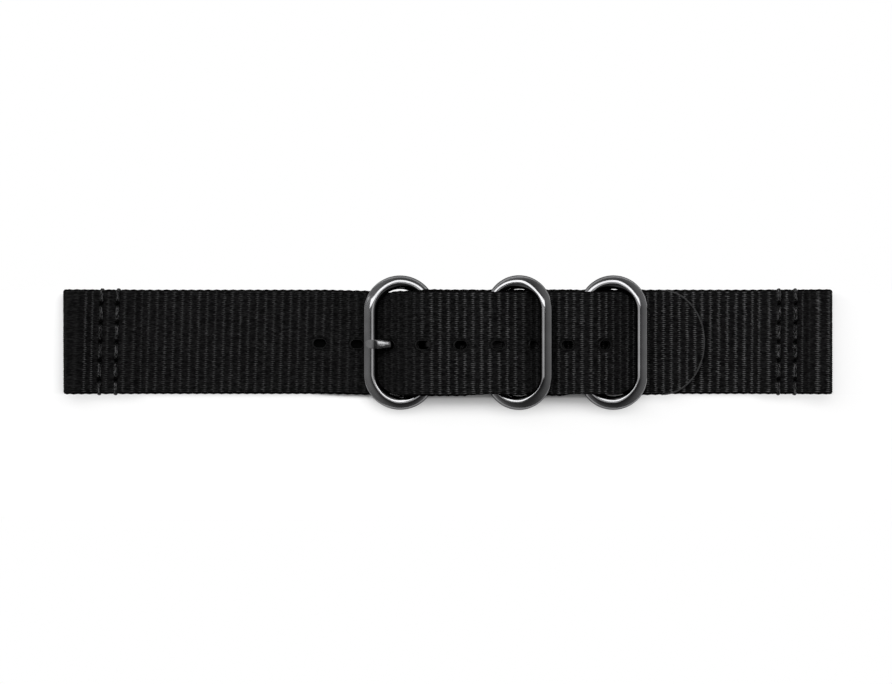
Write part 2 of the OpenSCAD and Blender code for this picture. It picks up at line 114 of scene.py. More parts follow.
def roundedLine(corners, step=math.radians(4), straight=math.radians(0.5)):
    count = len(corners)
    headings = [heading(corners[i], corners[i + 1]) for i in range(count - 1)]
    turns = [0] + [turnBetween(headings[i - 1], headings[i]) for i in range(1, count - 1)] + [0]
    want = [c[2] * math.tan(abs(t) / 2) for c, t in zip(corners, turns)]
    spans = [math.dist(corners[i][:2], corners[i + 1][:2]) for i in range(count - 1)]
    fits = [min(1, span / max(0.001, want[i] + want[i + 1])) for i, span in enumerate(spans)]
    points = [(*corners[0][:2], headings[0])]
    for i in range(1, count - 1):
        x, z, radius = corners[i]
        h, t = headings[i - 1], turns[i]
        if abs(t) < straight:
            points.append((x, z, h))
            continue
        share = min(fits[i - 1], fits[i])
        side = math.copysign(radius * share, t)
        back = want[i] * share
        cx = x - back * math.cos(h) - side * math.sin(h)
        cz = z - back * math.sin(h) + side * math.cos(h)
        for g in np.linspace(h, h + t, max(2, math.ceil(abs(t) / step) + 1)):
            points.append((cx + side * math.sin(g), cz - side * math.cos(g), g))
    points.append((*corners[-1][:2], headings[-1]))
    x, z, h = np.array(points).T
    run = np.concatenate([[0], np.cumsum(np.hypot(np.diff(x), np.diff(z)))])
    return {"run": run, "x": x, "z": z, "heading": np.unwrap(h)}


def crest(centre, radius, a, b):
    a, b = math.radians(a), math.radians(b)
    far = radius / math.cos((a + b) / 2)
    return centre[0] + far * math.sin((b - a) / 2), centre[1] + far * math.cos((b - a) / 2)


def crestLine(centre, radius, a, x, side):
    a = math.radians(a)
    return centre[1] + radius * math.cos(a) - (side * (x - centre[0]) - radius * math.sin(a)) * math.tan(a)


def crestFoot(centre, radius, a, z, side):
    a = math.radians(a)
    fall = (centre[1] + radius * math.cos(a) - z) / math.tan(a)
    return centre[0] + side * (radius * math.sin(a) + fall), z


def meet(p, a, q, b):
    ta, tb = math.tan(math.radians(a)), math.tan(math.radians(b))
    x = (q[1] - p[1] + p[0] * ta - q[0] * tb) / (ta - tb)
    return x, p[1] + (x - p[0]) * ta


def riseTo(p, centre, radius):
    return math.degrees(heading(p, centre) + math.asin(radius / math.dist(centre, p)))


thick = webbing["thick"]
rise = thick + webbing["gap"]
z1, z2, z3 = (thick / 2 + i * rise for i in range(3))
pocketR = lay["pocketR"]
overR = pocketR + rise
foldTop = barZ + pocketR
foldR = (foldTop - z1) / 2
foldAxis = (-lay["foldBack"], z1 + foldR)
foldOverR = foldR + rise
keeperAxes = [(x, barZ) for x in keeperX]
keeperTilts = []
for node in ("keeper_ring_1", "keeper_ring_2"):
    low, high = nodeBox(node)
    keeperTilts.append(math.asin((high[2] - low[2] - wireD) / ringReach["keeper"]))
freeBars = [x + ringReach["keeper"] * math.cos(t) for x, t in zip(keeperX, keeperTilts)]


def lugCorners(end, s):
    outer = lay["boreR"] + thick
    middle = outer - thick / 2
    top = z1 + 2 * middle
    return [
        (end - s * lay["tab"], z1, 0),
        (end - s * thick / 2, z1, middle),
        (end - s * thick / 2, top, middle),
        (end - s * (outer + lay["neck"]), top, middle),
        (end - s * (outer + lay["neckRun"]), z2, lay["neckBend"]),
        (end - s * (lay["tab"] + lay["tabStart"]), z2, lay["tabBend"]),
        (end - s * (lay["tab"] + lay["tabEnd"]), z1, lay["tabBend"]),
    ]


def pocketCorners(centre):
    slope = lay["pocketSlope"]
    return [
        (*crestFoot(centre, pocketR, slope, z2, 1), lay["pocketBend"]),
        (*crest(centre, pocketR, slope, slope), pocketR),
        (*crestFoot(centre, pocketR, slope, z2, -1), lay["pocketBend"]),
    ]


def shortPath():
    left = foldAxis[0] - foldR
    low, high = lay["returnRamp"]
    return roundedLine([
        *lugCorners(shortEnd, 1),
        (lay["returnX"] + low, z1, lay["tabBend"]), (lay["returnX"] + high, z2, lay["tabBend"]),
        *pocketCorners(keeperAxes[1]), *pocketCorners(keeperAxes[0]),
        (lay["foldFoot"], z2, lay["pocketBend"]),
        (lay["foldTopX"], foldTop, foldR), (left, foldTop, foldR), (left, z1, foldR),
        (lay["returnX"], z1, 0),
    ])


def dropCorners(i, floorZ):
    foot = (freeBars[i] - lay["dropFoot"][i], floorZ)
    edgeX = foot[0] - lay["dropRun"]
    edge = (edgeX, crestLine(keeperAxes[i], overR, lay["keeperSlope"][i], edgeX, 1))
    return [(*edge, lay["dropBend"]), (*foot, lay["dropBend"])]


def rampCorners():
    foot = (lay["rampFoot"] - ringReach["buckle"], z1)
    knee = (-lay["knee"], crestLine(foldAxis, foldOverR, lay["overFold"], -lay["knee"], -1))
    return foot, knee


def longPath():
    foot, knee = rampCorners()
    overFold = crest(foldAxis, foldOverR, lay["overFold"], lay["sag"])
    crest1 = crest(keeperAxes[0], overR, lay["sag"], lay["keeperSlope"][0])
    lift = (freeBars[0], z3)
    crest2 = crest(keeperAxes[1], overR, riseTo(lift, keeperAxes[1], overR), lay["keeperSlope"][1])
    return roundedLine([
        *lugCorners(longEnd, -1),
        (*foot, lay["dropBend"]), (*knee, lay["kneeBend"]), (*overFold, foldOverR),
        (*meet(overFold, -lay["sag"], crest1, lay["sag"]), lay["sagBend"]),
        (*crest1, overR), *dropCorners(0, z3), (*lift, lay["liftBend"]),
        (*crest2, overR), *dropCorners(1, z2),
        (shortEnd, z2, 0),
    ])


longLine = longPath()
shortLine = shortPath()
# how much more run than distance the lug loop takes, read where the long piece lies flat
flatX, loopPoints = -40, 60
lead = np.interp(flatX, longLine["x"][loopPoints:], longLine["run"][loopPoints:]) - (flatX - longEnd)


# where the rings leave room for the webbing's edges, at rest and as they move

ringSpace = {
    "clear": 0.1, "open": 99.0, "soft": 0.4, "near": 5.8, "lifts": (0, 2, 4), "swings": range(0, 133, 4),
}


def ringRoom(x, z, axis, kind, angle):
    dx, dz = x - axis[0], z - axis[1]
    along = dx * math.cos(angle) + dz * math.sin(angle)
    off = dz * math.cos(angle) - dx * math.sin(angle)
    half = np.sqrt(np.maximum(0, (wireR + ringSpace["clear"]) ** 2 - off ** 2))
    endR = ringReach[kind] / 2
    inner = endR - half
    inside = (half > 0) & (np.abs(endR - along) < inner)
    room = barLength[kind] / 2 + np.sqrt(np.maximum(0, inner ** 2 - (endR - along) ** 2))
    return np.where(inside, room, ringSpace["open"])


def roomBetweenRings(x, z):
    room = np.full(len(x), ringSpace["open"])
    for lift in ringSpace["lifts"]:
        room = np.minimum(room, ringRoom(x, z, (0, barZ), "buckle", math.pi - math.radians(lift)))
    for axis, tilt in zip(keeperAxes, keeperTilts):
        near = np.hypot(x - axis[0], z - axis[1]) < ringSpace["near"]
        for swing in ringSpace["swings"]:
            here = ringRoom(x, z, axis, "keeper", tilt + math.radians(swing))
            room = np.minimum(room, np.where(near | (swing == 0), here, ringSpace["open"]))
    return room


def squeezed(y, room):
    size = np.abs(y)
    soft = ringSpace["soft"]
    start = room - soft
    past = np.maximum(0, size - start)
    return np.sign(y) * np.where(past > 0, start + soft * (1 - np.exp(-past / soft)), size)


def bendOn(line, flat, lean, drift=None):
    run, y, n = flat[:, 0], flat[:, 1], flat[:, 2]
    run = run + lean(run) * y
    if drift is not None:
        y = y + drift(run)
    x = np.interp(run, line["run"], line["x"])
    z = np.interp(run, line["run"], line["z"])
    h = np.interp(run, line["run"], line["heading"])
    x, z = x - n * np.sin(h), z + n * np.cos(h)
    return np.stack([x, squeezed(y - ringDrop, roomBetweenRings(x, z)) + ringDrop, z], 1)


def placed(points):
    return (points + np.array([barX, 0, 0])) * mm


# the ribs' lean across the webbing, and how far the long piece drifts to the near side along its run
ribLean = {"long": 0.03, "short": 0.008, "start": 12, "end": 58, "fade": 8}
nearDrift = {"run": [50, 62, 106, 120], "y": [0, -0.3, -0.3, -0.1]}


def longLean(run):
    ending = np.clip((lead + ribLean["end"] - run) / ribLean["fade"], 0, 1)
    return ribLean["long"] * ending * np.clip(run / ribLean["start"], 0, 1)


def longDrift(run):
    return np.interp(run - lead, nearDrift["run"], nearDrift["y"])


def shortLean(run):
    return -ribLean["short"] * np.clip(run / ribLean["start"], 0, 1)


# small helpers for modelling by operators

def onlyThis(obj):
    bpy.ops.object.select_all(action="DESELECT")
    obj.select_set(True)
    bpy.context.view_layer.objects.active = obj


def readPoints(obj):
    co = np.empty(len(obj.data.vertices) * 3)
    obj.data.vertices.foreach_get("co", co)
    return co.reshape(-1, 3)


def writePoints(obj, points):
    obj.data.vertices.foreach_set("co", np.ascontiguousarray(points, dtype=np.float32).ravel())
    obj.data.update()


def editAll(obj, *steps):
    onlyThis(obj)
    bpy.ops.object.mode_set(mode="EDIT")
    bpy.ops.mesh.select_all(action="SELECT")
    for step in steps:
        step()
    bpy.ops.object.mode_set(mode="OBJECT")


def rolledGrid(name, points, ringed=False, weld=0.0001):
    rowCount, columnCount = points.shape[:2]
    bpy.ops.object.select_all(action="DESELECT")
    bpy.ops.mesh.primitive_grid_add(x_subdivisions=rowCount - 1, y_subdivisions=columnCount - 1, size=2)
    piece = bpy.context.object
    piece.name = name
    at = readPoints(piece)
    row = np.rint((at[:, 0] + 1) / 2 * (rowCount - 1)).astype(int)
    column = np.rint((at[:, 1] + 1) / 2 * (columnCount - 1)).astype(int)
    writePoints(piece, points[row, column])
    steps = [lambda: bpy.ops.mesh.remove_doubles(threshold=weld)]
    if not ringed:
        steps += [
            lambda: bpy.ops.mesh.select_all(action="DESELECT"),
            lambda: bpy.ops.mesh.select_non_manifold(),
            lambda: bpy.ops.mesh.edge_face_add(),
            lambda: bpy.ops.mesh.select_all(action="SELECT"),
        ]
    editAll(piece, *steps, lambda: bpy.ops.mesh.normals_make_consistent(inside=False))
    return piece


def applyModifier(obj, kind, **values):
    onlyThis(obj)
    modifier = obj.modifiers.new(kind.lower(), kind)
    for name, value in values.items():
        setattr(modifier, name, value)
    bpy.ops.object.modifier_apply(modifier=modifier.name)


def smooth(obj, angle=60):
    onlyThis(obj)
    bpy.ops.object.shade_smooth_by_angle(angle=math.radians(angle))


def keepFlatPlace(obj, flat):
    place = obj.data.attributes.new("flat", "FLOAT_VECTOR", "POINT")
    place.data.foreach_set("vector", np.ascontiguousarray(flat, dtype=np.float32).ravel())


def keepShade(obj, shade):
    made = obj.data.attributes.new("shade", "FLOAT", "POINT")
    made.data.foreach_set("value", np.ascontiguousarray(shade, dtype=np.float32))


def finishPiece(obj, body, material, nodes=()):
    obj.data.materials.clear()
    obj.data.materials.append(material)
    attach(obj, body)
    if nodes:
        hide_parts(*nodes)


# shader maths as expressions

class Wire:
    def __init__(self, tree, socket):
        self.tree = tree
        self.socket = socket

    def node(self, kind, settings=None, out=0, **inputs):
        made = self.tree.nodes.new(kind)
        for name, value in (settings or {}).items():
            setattr(made, name, value)
        for name, value in inputs.items():
            key = int(name[1:]) if name[1:].isdigit() else name
            if isinstance(value, Wire):
                self.tree.links.new(value.socket, made.inputs[key])
            else:
                made.inputs[key].default_value = value
        return Wire(self.tree, made.outputs[out])

    def maths(self, operation, *values):
        inputs = {f"i{i}": value for i, value in enumerate(values)}
        return self.node("ShaderNodeMath", {"operation": operation}, **inputs)

    def __add__(self, other): return self.maths("ADD", self, other)
    def __radd__(self, other): return self.maths("ADD", other, self)
    def __sub__(self, other): return self.maths("SUBTRACT", self, other)
    def __rsub__(self, other): return self.maths("SUBTRACT", other, self)
    def __mul__(self, other): return self.maths("MULTIPLY", self, other)
    def __rmul__(self, other): return self.maths("MULTIPLY", other, self)

    def absolute(self):
        return self.maths("ABSOLUTE", self)

    def larger(self, other):
        return self.maths("MAXIMUM", self, other)

    def axis(self, name):
        return self.node("ShaderNodeSeparateXYZ", out=name, Vector=self)

    def kept(self, name, out):
        return self.node("ShaderNodeAttribute", {"attribute_name": name}, out=out)

    def noise(self, scale, detail, roughness=0.5):
        return self.node("ShaderNodeTexNoise", Vector=self, Scale=scale, Detail=detail, Roughness=roughness)

    def mix(self, dark, light):
        return self.node("ShaderNodeMix", {"data_type": "RGBA"}, out=2, i0=self, i6=dark, i7=light)

    def clamped(self, low, high, newLow=0.0, newHigh=1.0):
        return self.node("ShaderNodeMapRange", i0=self, i1=low, i2=high, i3=newLow, i4=newHigh)


def newMaterial(name):
    material = bpy.data.materials.new(name)
    material.use_nodes = True
    tree = material.node_tree
    tree.nodes.clear()
    shader = tree.nodes.new("ShaderNodeBsdfPrincipled")
    out = tree.nodes.new("ShaderNodeOutputMaterial")
    tree.links.new(shader.outputs[0], out.inputs[0])
    return material, shader, Wire(tree, None)


def feed(shader, name, wire):
    shader.id_data.links.new(wire.socket, shader.inputs[name])


def grey(value, cool=1.02):
    return (value, value, value * cool, 1)


noiseSpan = (0.3, 0.7)      # where most of a noise texture's values lie

# the webbing's colour carries painted light: crests lighter as a painted highlight, yarn floats as painted
# glints, valleys, edges and stitch pits darker as painted shade
nylon = {
    "pit": 0.0004, "valley": 0.0016, "crest": 0.125, "smooth": 0.4, "dull": 0.9, "specular": 0.018,
    "lowest": 0.07, "edge": (0.3, 0.1), "blackFrom": 0.91,
    "fibres": 0.5, "worn": 0.5, "speckle": 0.8, "contrast": (0.6, 1.2, 0.15, 1.35),
    "glints": (0.42, 0.68, 0.0, 0.08),
}


def nylonMaterial():
    material, shader, w = newMaterial("black_nylon_webbing")
    place = w.kept("flat", "Vector")
    low = place.axis("Z").absolute().clamped(thick / 2, thick / 2 - nylon["lowest"])
    edge = place.axis("Y").absolute().clamped(*[webbing["width"] / 2 - inset for inset in nylon["edge"]])
    shade = w.kept("shade", "Fac")
    stretched = w.node("ShaderNodeMapping", Vector=place, Scale=(0.9, 9.0, 1.0))
    fibres = stretched.noise(scale=3.0, detail=4.0, roughness=0.65)
    short = w.node("ShaderNodeMapping", Vector=place, Scale=(0.4, 2.4, 1.0))
    floats = short.noise(scale=3.0, detail=2.0, roughness=0.6)
    worn = place.noise(scale=0.5, detail=3.0, roughness=0.6)
    speckle = place.noise(scale=3.4, detail=2.0, roughness=0.7)
    patches = fibres * nylon["fibres"] + worn * nylon["worn"] + speckle * nylon["speckle"]
    # painted highlight on the crests, painted shade in the valleys, on the edges and from the shade attribute
    lit = (1 - shade) * (1 - low.larger(edge)) * patches.clamped(*nylon["contrast"])
    lit = lit + (1 - edge) * floats.clamped(*nylon["glints"])
    # painted shade turns black in the stitch pits' middle and along the edges
    black = shade.clamped(nylon["blackFrom"], 1.0).larger(edge)
    tone = lit.mix(grey(nylon["valley"]), grey(nylon["crest"]))
    feed(shader, "Base Color", black.mix(tone, grey(nylon["pit"])))
    feed(shader, "Roughness", lit.clamped(0.1, 0.9, nylon["dull"], nylon["smooth"]))
    feed(shader, "Normal", w.node("ShaderNodeBump", Strength=0.5, Distance=0.00004, Height=fibres))
    shader.inputs["Specular IOR Level"].default_value = nylon["specular"]
    return material


# one melted nylon in two tones: lighter on the tip's edge as a painted highlight, darker round the holes as
# painted shade
sealed = {"tipLitTone": 0.035, "holeShadedTone": 0.006, "dark": 0.6, "rough": (0.55, 0.4), "specular": 0.1}


def sealedMaterial(name, tone):
    material, shader, w = newMaterial(name)
    place = w.node("ShaderNodeTexCoord", out="Object")
    lumps = place.noise(scale=2500.0, detail=3.0)
    feed(shader, "Base Color", lumps.clamped(*noiseSpan).mix(grey(tone * sealed["dark"]), grey(tone)))
    feed(shader, "Roughness", lumps.clamped(*noiseSpan, *sealed["rough"]))
    feed(shader, "Normal", w.node("ShaderNodeBump", Strength=0.5, Distance=0.00006, Height=lumps))
    shader.inputs["Specular IOR Level"].default_value = sealed["specular"]
    return material


thread = {"dark": 0.001, "light": 0.085, "lit": (0.48, 0.64), "rough": (0.5, 0.32), "specular": 0.05}


def threadMaterial():
    material, shader, w = newMaterial("bonded_nylon_thread")
    place = w.node("ShaderNodeTexCoord", out="Object")
    along = w.node("ShaderNodeMapping", Vector=place, Scale=(1.0, 0.16, 1.0))
    fibres = along.noise(scale=6000.0, detail=2.0)
    # the shade attribute is painted shade where the thread dips into the needle holes; the lighter fibre
    # streaks are painted highlights of its filaments
    out = 1 - w.kept("shade", "Fac")
    lit = out * fibres.clamped(*thread["lit"])
    feed(shader, "Base Color", lit.mix(grey(thread["dark"]), grey(thread["light"])))
    feed(shader, "Roughness", fibres.clamped(*noiseSpan, *thread["rough"]))
    feed(shader, "Normal", w.node("ShaderNodeBump", Strength=0.4, Distance=0.00003, Height=fibres))
    shader.inputs["Specular IOR Level"].default_value = thread["specular"]
    return material


steel = {
    "ringLight": 0.23, "tongueLight": 0.17, "dark": 0.003, "worn": 0.8, "rim": 0.02,
    "ringRough": 0.13, "tongueRough": 0.24, "rough": (-0.015, 0.02), "grain": 0.6, "wear": 0.4,
}


def steelMaterial(name, light, rough):
    material, shader, w = newMaterial(name)
    place = w.node("ShaderNodeTexCoord", out="Object")
    grain = place.noise(scale=14000.0, detail=2.0)
    wear = place.noise(scale=300.0, detail=3.0)
    # the shade attribute is painted shade: on the tongue it darkens the tip, the hump's rising side and the
    # loop round the bar; the rings carry none
    unshaded = 1 - w.kept("shade", "Fac")
    lit = unshaded * wear.clamped(*noiseSpan, steel["worn"], 1.0)
    feed(shader, "Base Color", lit.mix(grey(steel["dark"]), grey(light)))
    dull = grain * steel["grain"] + wear * steel["wear"]
    feed(shader, "Roughness", dull.clamped(*noiseSpan, *[rough + more for more in steel["rough"]]))
    feed(shader, "Normal", w.node("ShaderNodeBump", Strength=0.02, Distance=0.00001, Height=grain))
    shader.inputs["Metallic"].default_value = 1.0
    shader.inputs["Specular Tint"].default_value = grey(steel["rim"])
    return material


nylonFinish = nylonMaterial()
tipLitFinish = sealedMaterial("melted_tip_edge_painted_highlight", sealed["tipLitTone"])
holeShadedFinish = sealedMaterial("melted_hole_edge_painted_shade", sealed["holeShadedTone"])
threadFinish = threadMaterial()
ringFinish = steelMaterial("dark_satin_steel", steel["ringLight"], steel["ringRough"])
tongueFinish = steelMaterial("dull_cast_steel", steel["tongueLight"], steel["tongueRough"])
print("stage: materials")


# the webbing: a woven strip, rolled to its closed section, cut flat and then bent on its path

def ribRuns(first, pitch, length, later=None):
    later = later or {"from": length, "over": 1, "pitch": pitch}
    runs = [first % pitch - pitch]
    while runs[-1] < length + pitch:
        blend = min(1, max(0, (runs[-1] - later["from"]) / later["over"]))
        runs.append(runs[-1] + pitch + blend * (later["pitch"] - pitch))
    return np.array(runs)


def girth():
    half = webbing["width"] / 2
    flatHalf = half - webbing["edge"]
    bulgeY, bulgeZ = webbing["edgeBulge"]
    count = int(round(2 * flatHalf / webbing["yarn"]))
    ys = np.linspace(flatHalf, -flatHalf, 2 * count + 1)
    yarnOf = np.arange(2 * count + 1)
    top = [(y, thick / 2, k) for y, k in zip(ys, yarnOf)]
    edge = [(flatHalf + bulgeY, bulgeZ), (half, 0.0), (flatHalf + bulgeY, -bulgeZ)]
    left = [(-y, n, -1) for y, n in edge]
    bottom = [(-y, -thick / 2, k) for y, k in zip(ys, yarnOf)]
    right = [(y, -n, -1) for y, n in edge]
    ring = top + left + bottom + right
    return np.array(ring + ring[:1])


def wovenStrip(name, ribs, start, end, seed):
    rows = webbing["ribRows"]
    knots = np.arange(len(ribs) * rows) / rows
    runs = np.interp(knots, np.arange(len(ribs)), ribs)
    runs = np.concatenate([[start], runs[(runs > start) & (runs < end)], [end]])
    phase = np.interp(runs, ribs, np.arange(len(ribs)))[:, None]
    y, n, yarn = girth().T
    onFace = yarn >= 0
    rng = np.random.RandomState(seed)
    uneven = rng.normal(0, webbing["uneven"], (len(runs), len(y)))
    uneven[:, -1] = uneven[:, 0]
    dip = webbing["ribDepth"] * (1 - np.abs(np.cos(math.pi * phase))) + uneven
    dip = np.maximum(0, dip + np.where(onFace & (yarn % 2 == 0), webbing["yarnDepth"], 0))
    zig = np.where(onFace, np.where((yarn // 2) % 2 == 0, 1, -1) * webbing["zigzag"], 0)
    zig = np.where((np.arange(len(runs)) % (len(runs) - 1) == 0)[:, None], 0, zig)
    fades = np.clip((webbing["slantEnd"] - np.abs(y)) / webbing["slantFade"], 0, 1)
    slant = webbing["slant"] * np.sin(2 * math.pi * phase) * fades
    turn = np.sign(y) * (webbing["scallop"] * np.cos(2 * math.pi * phase) + webbing["overhang"])
    points = np.stack([
        runs[:, None] + zig,
        y + np.where(onFace, slant, turn),
        n - np.where(onFace, np.sign(n) * dip, 0),
    ], 2)
    return rolledGrid(name, points)


def cutWith(strip, cutters):
    onlyThis(cutters[0])
    for cutter in cutters:
        cutter.select_set(True)
    if len(cutters) > 1:
        bpy.ops.object.join()
    cutter = bpy.context.object
    applyModifier(strip, "BOOLEAN", operation="DIFFERENCE", object=cutter, solver="MANIFOLD")
    bpy.data.objects.remove(cutter)


holes = {
    "first": 48.7, "pitch": 7.1, "count": 9, "length": 2.6, "width": 1.8, "y": -0.3,
    "rimSink": 0.12, "rimReach": 0.3,
}
tip = {"length": 8.1, "run": 125.5, "points": 60}
cut = {"round": 24, "depth": 4, "beyond": 6, "before": 0.001}


def stadium(length, width, count):
    angles = np.linspace(0, 2 * math.pi, count, endpoint=False) + math.pi / count
    shift = (length - width) / 2
    x = width / 2 * np.cos(angles) + np.sign(np.cos(angles)) * shift
    return np.stack([x, width / 2 * np.sin(angles)], 1)


def holeCutter(run):
    bpy.ops.mesh.primitive_cylinder_add(vertices=cut["round"], radius=1, depth=cut["depth"])
    cutter = bpy.context.object
    at = readPoints(cutter)
    shift = (holes["length"] - holes["width"]) / 2
    x = at[:, 0] * holes["width"] / 2 + np.sign(np.round(at[:, 0], 6)) * shift
    y = at[:, 1] * holes["width"] / 2
    writePoints(cutter, np.stack([x + run, y + holes["y"], at[:, 2]], 1))
    return cutter


def tipCurve(inset, count):
    half = webbing["width"] / 2 - inset
    length = tip["length"] - inset
    angles = np.linspace(math.pi / 2, -math.pi / 2, count)
    base = lead + tip["run"] - tip["length"]
    return np.stack([base + length * np.cos(angles), half * np.sin(angles)], 1)


def tipCutter():
    curve = tipCurve(0.0, tip["points"])
    start, end = curve[0, 0] - cut["before"], curve[-1, 0] - cut["before"]
    far = curve[:, 0].max() + cut["beyond"]
    wide = webbing["width"]
    outline = [(far, wide), (start, wide), *curve, (end, -wide), (far, -wide)]
    bpy.ops.object.select_all(action="DESELECT")
    bpy.ops.mesh.primitive_circle_add(vertices=len(outline), radius=1, fill_type="NGON")
    cutter = bpy.context.object
    writePoints(cutter, np.array([(x, y, -cut["depth"] / 2) for x, y in outline]))
    editAll(
        cutter,
        lambda: bpy.ops.mesh.extrude_region_move(TRANSFORM_OT_translate={"value": (0, 0, cut["depth"])}),
        lambda: bpy.ops.mesh.select_all(action="SELECT"),
        lambda: bpy.ops.mesh.normals_make_consistent(inside=False),
    )
    return cutter


rowsOfStitches = {
    "long_lug": [7.1, 10.2],
    "short_lug": [7.1, 10.2],
    "fold": [keeperX[0] - 5.8],
    "keeper_1": [keeperX[0] + 5],
    "keeper_2": [keeperX[1] - 5, keeperX[1] + 5],
}
stitch = {
    "pitch": 3.6, "count": 5, "strandR": 0.17, "twistR": 0.15, "turn": 2.6, "strands": 3,
    "darkReach": 0.66, "darkFade": 0.2,
}
# how a row of stitches pulls the faces and edges of the webbing in, and the painted shade it gives the needle
# pits
pull = {
    "groove": 0.2, "half": 0.42, "past": 0.6, "ending": 0.4, "skin": 0.75, "fade": 0.3,
    "pit": 0.55, "pitR": 0.5, "pitShade": 2.6, "edge": 0.5, "notch": 0.2,
}
pairTop = 2 * thick + webbing["gap"]
holeYs = [(i - (stitch["count"] - 1) / 2) * stitch["pitch"] for i in range(stitch["count"])]


def pulledDown(points, rowXs, lean, wraps):
    x, y, z = points.T
    shade = np.zeros(len(x))
    for rowX in rowXs:
        across = (x - rowX - lean * y) / pull["half"]
        reach = 1 if wraps else np.clip((holeYs[-1] + pull["past"] - np.abs(y)) / pull["ending"], 0, 1)
        groove = pull["groove"] * np.exp(-across ** 2) * reach
        pits = sum(np.exp(-((x - rowX - lean * y) ** 2 + (y - at) ** 2) / pull["pitR"] ** 2) for at in holeYs)
        groove = groove + pull["pit"] * pits
        top = np.clip((z - pairTop + pull["skin"]) / pull["fade"], 0, 1) * (z < pairTop + pull["fade"])
        bottom = np.clip((pull["skin"] - z) / pull["fade"], 0, 1)
        z = z - groove * top + groove * bottom
        # painted shade: the needle pits darken, to black at their middle
        shade = np.maximum(shade, np.clip(pits * pull["pitShade"], 0, 1) * np.maximum(top, bottom))
        if wraps:
            edge = np.clip((np.abs(y) - webbing["width"] / 2 + pull["edge"]) / pull["ending"], 0, 1)
            edge = edge * (z < pairTop + pull["fade"])
            y = y - np.sign(y) * pull["notch"] * np.exp(-across ** 2) * edge
    return np.stack([x, y, z], 1), shade


def sunkRims(flat):
    run, y, n = flat.T
    for i in range(holes["count"]):
        half = (holes["length"] - holes["width"]) / 2
        along = np.maximum(0, np.abs(run - lead - holes["first"] - i * holes["pitch"]) - half)
        past = np.hypot(along, y - holes["y"]) - holes["width"] / 2
        n = n - np.sign(n) * holes["rimSink"] * np.exp(-(past / holes["rimReach"]) ** 2)
    return np.stack([run, y, n], 1)


# how dark the ribs are along each piece: (distance from its lug end, darkness), with the tab below zero; partly
# wear, partly painted shade inside the buckle, where the long piece drops beside each keeper's free bar, and
# over the lug ends
wearAndShadeAlong = {
    "long": [
        (-14, 0.5), (-3, 0.9), (2.6, 0.9), (2.9, 0.4), (5.4, 0.5), (5.6, 0.8), (7.5, 0.72), (12, 0.68),
        (20, 0.62), (38, 0.6), (50, 0.68), (58, 0.82), (66, 0.86), (69, 0.7), (72, 0.28), (88, 0.3),
        (90, 0.85), (94, 0.55), (97, 0.4), (106, 0.2), (108, 0.75), (111, 0.35), (125, 0.2),
    ],
    "short": [
        (-14, 0.5), (-2, 0.3), (1.7, 0.1), (2.7, 0.3), (3.0, 0.85), (4.8, 0.85), (5.3, 0.45), (8, 0.2),
        (24, 0.1), (60, 0.5), (80, 0.7),
    ],
}

# the first rib's run, the ribs' pitch and where it changes, and the seed of their unevenness
ribs = {
    "long": {"first": 11.28, "pitch": 1.587, "from": 84, "over": 14, "laterPitch": 1.5, "seed": 5},
    "short": {"first": 36.5, "pitch": 1.625, "seed": 9},
}
foldSlot = {"half": 1.15, "x": 2.2, "bendEnd": 6}


# the shade attribute joins the stitch pits' painted shade with this wear and painted shade along the piece
def keepWearAndShade(strip, flat, kind, shade):
    run, wear = np.array(wearAndShadeAlong[kind]).T
    keepShade(strip, 1 - (1 - shade) * (1 - np.interp(flat[:, 0] - lead, run, wear)))


def makeLongStrap():
    look = ribs["long"]
    end = lead + tip["run"]
    later = {"from": lead + look["from"], "over": look["over"], "pitch": look["laterPitch"]}
    runs = ribRuns(lead + look["first"], look["pitch"], end, later)
    strip = wovenStrip("long_webbing", runs, 0, end + 1, look["seed"])
    cutters = [holeCutter(lead + holes["first"] + i * holes["pitch"]) for i in range(holes["count"])]
    cutWith(strip, cutters + [tipCutter()])
    flat = sunkRims(readPoints(strip))
    rows = [longEnd + r for r in rowsOfStitches["long_lug"]]
    bent, shade = pulledDown(bendOn(longLine, flat, longLean, longDrift), rows, ribLean["long"], True)
    keepFlatPlace(strip, flat)
    keepWearAndShade(strip, flat, "long", shade)
    writePoints(strip, placed(bent))
    smooth(strip)
    finishPiece(strip, "straps", nylonFinish, ["long_strap"])


def slotRuns():
    run, x = shortLine["run"], shortLine["x"]
    turned = int(np.argmin(x))
    upper = np.argsort(x[:turned + 1])
    upper = upper[x[upper] < foldSlot["bendEnd"]]
    return np.interp(foldSlot["x"], x[upper], run[upper]), np.interp(foldSlot["x"], x[turned:], run[turned:])


def makeShortStrap():
    look = ribs["short"]
    end = shortLine["run"][-1]
    strip = wovenStrip("short_webbing", ribRuns(look["first"], look["pitch"], end), 0, end, look["seed"])
    slotLow = holes["y"] - foldSlot["half"]
    bpy.ops.mesh.primitive_cube_add(size=1)
    cutter = bpy.context.object
    at = readPoints(cutter)
    at[:, 0] = np.where(at[:, 0] < 0, *slotRuns())
    at[:, 1] = np.where(at[:, 1] < 0, slotLow, slotLow + 2 * foldSlot["half"])
    at[:, 2] = at[:, 2] * cut["depth"]
    writePoints(cutter, at)
    cutWith(strip, [cutter])
    flat = readPoints(strip)
    lugRows = [shortEnd - r for r in rowsOfStitches["short_lug"]]
    innerRows = [x for group in ("fold", "keeper_1", "keeper_2") for x in rowsOfStitches[group]]
    bent, lugShade = pulledDown(bendOn(shortLine, flat, shortLean), lugRows, ribLean["short"], True)
    bent, innerShade = pulledDown(bent, innerRows, 0, False)
    keepFlatPlace(strip, flat)
    keepWearAndShade(strip, flat, "short", np.maximum(lugShade, innerShade))
    writePoints(strip, placed(bent))
    smooth(strip)
    finishPiece(strip, "straps", nylonFinish, ["short_strap"])


makeLongStrap()
print("stage: long webbing")
makeShortStrap()
print("stage: short webbing")


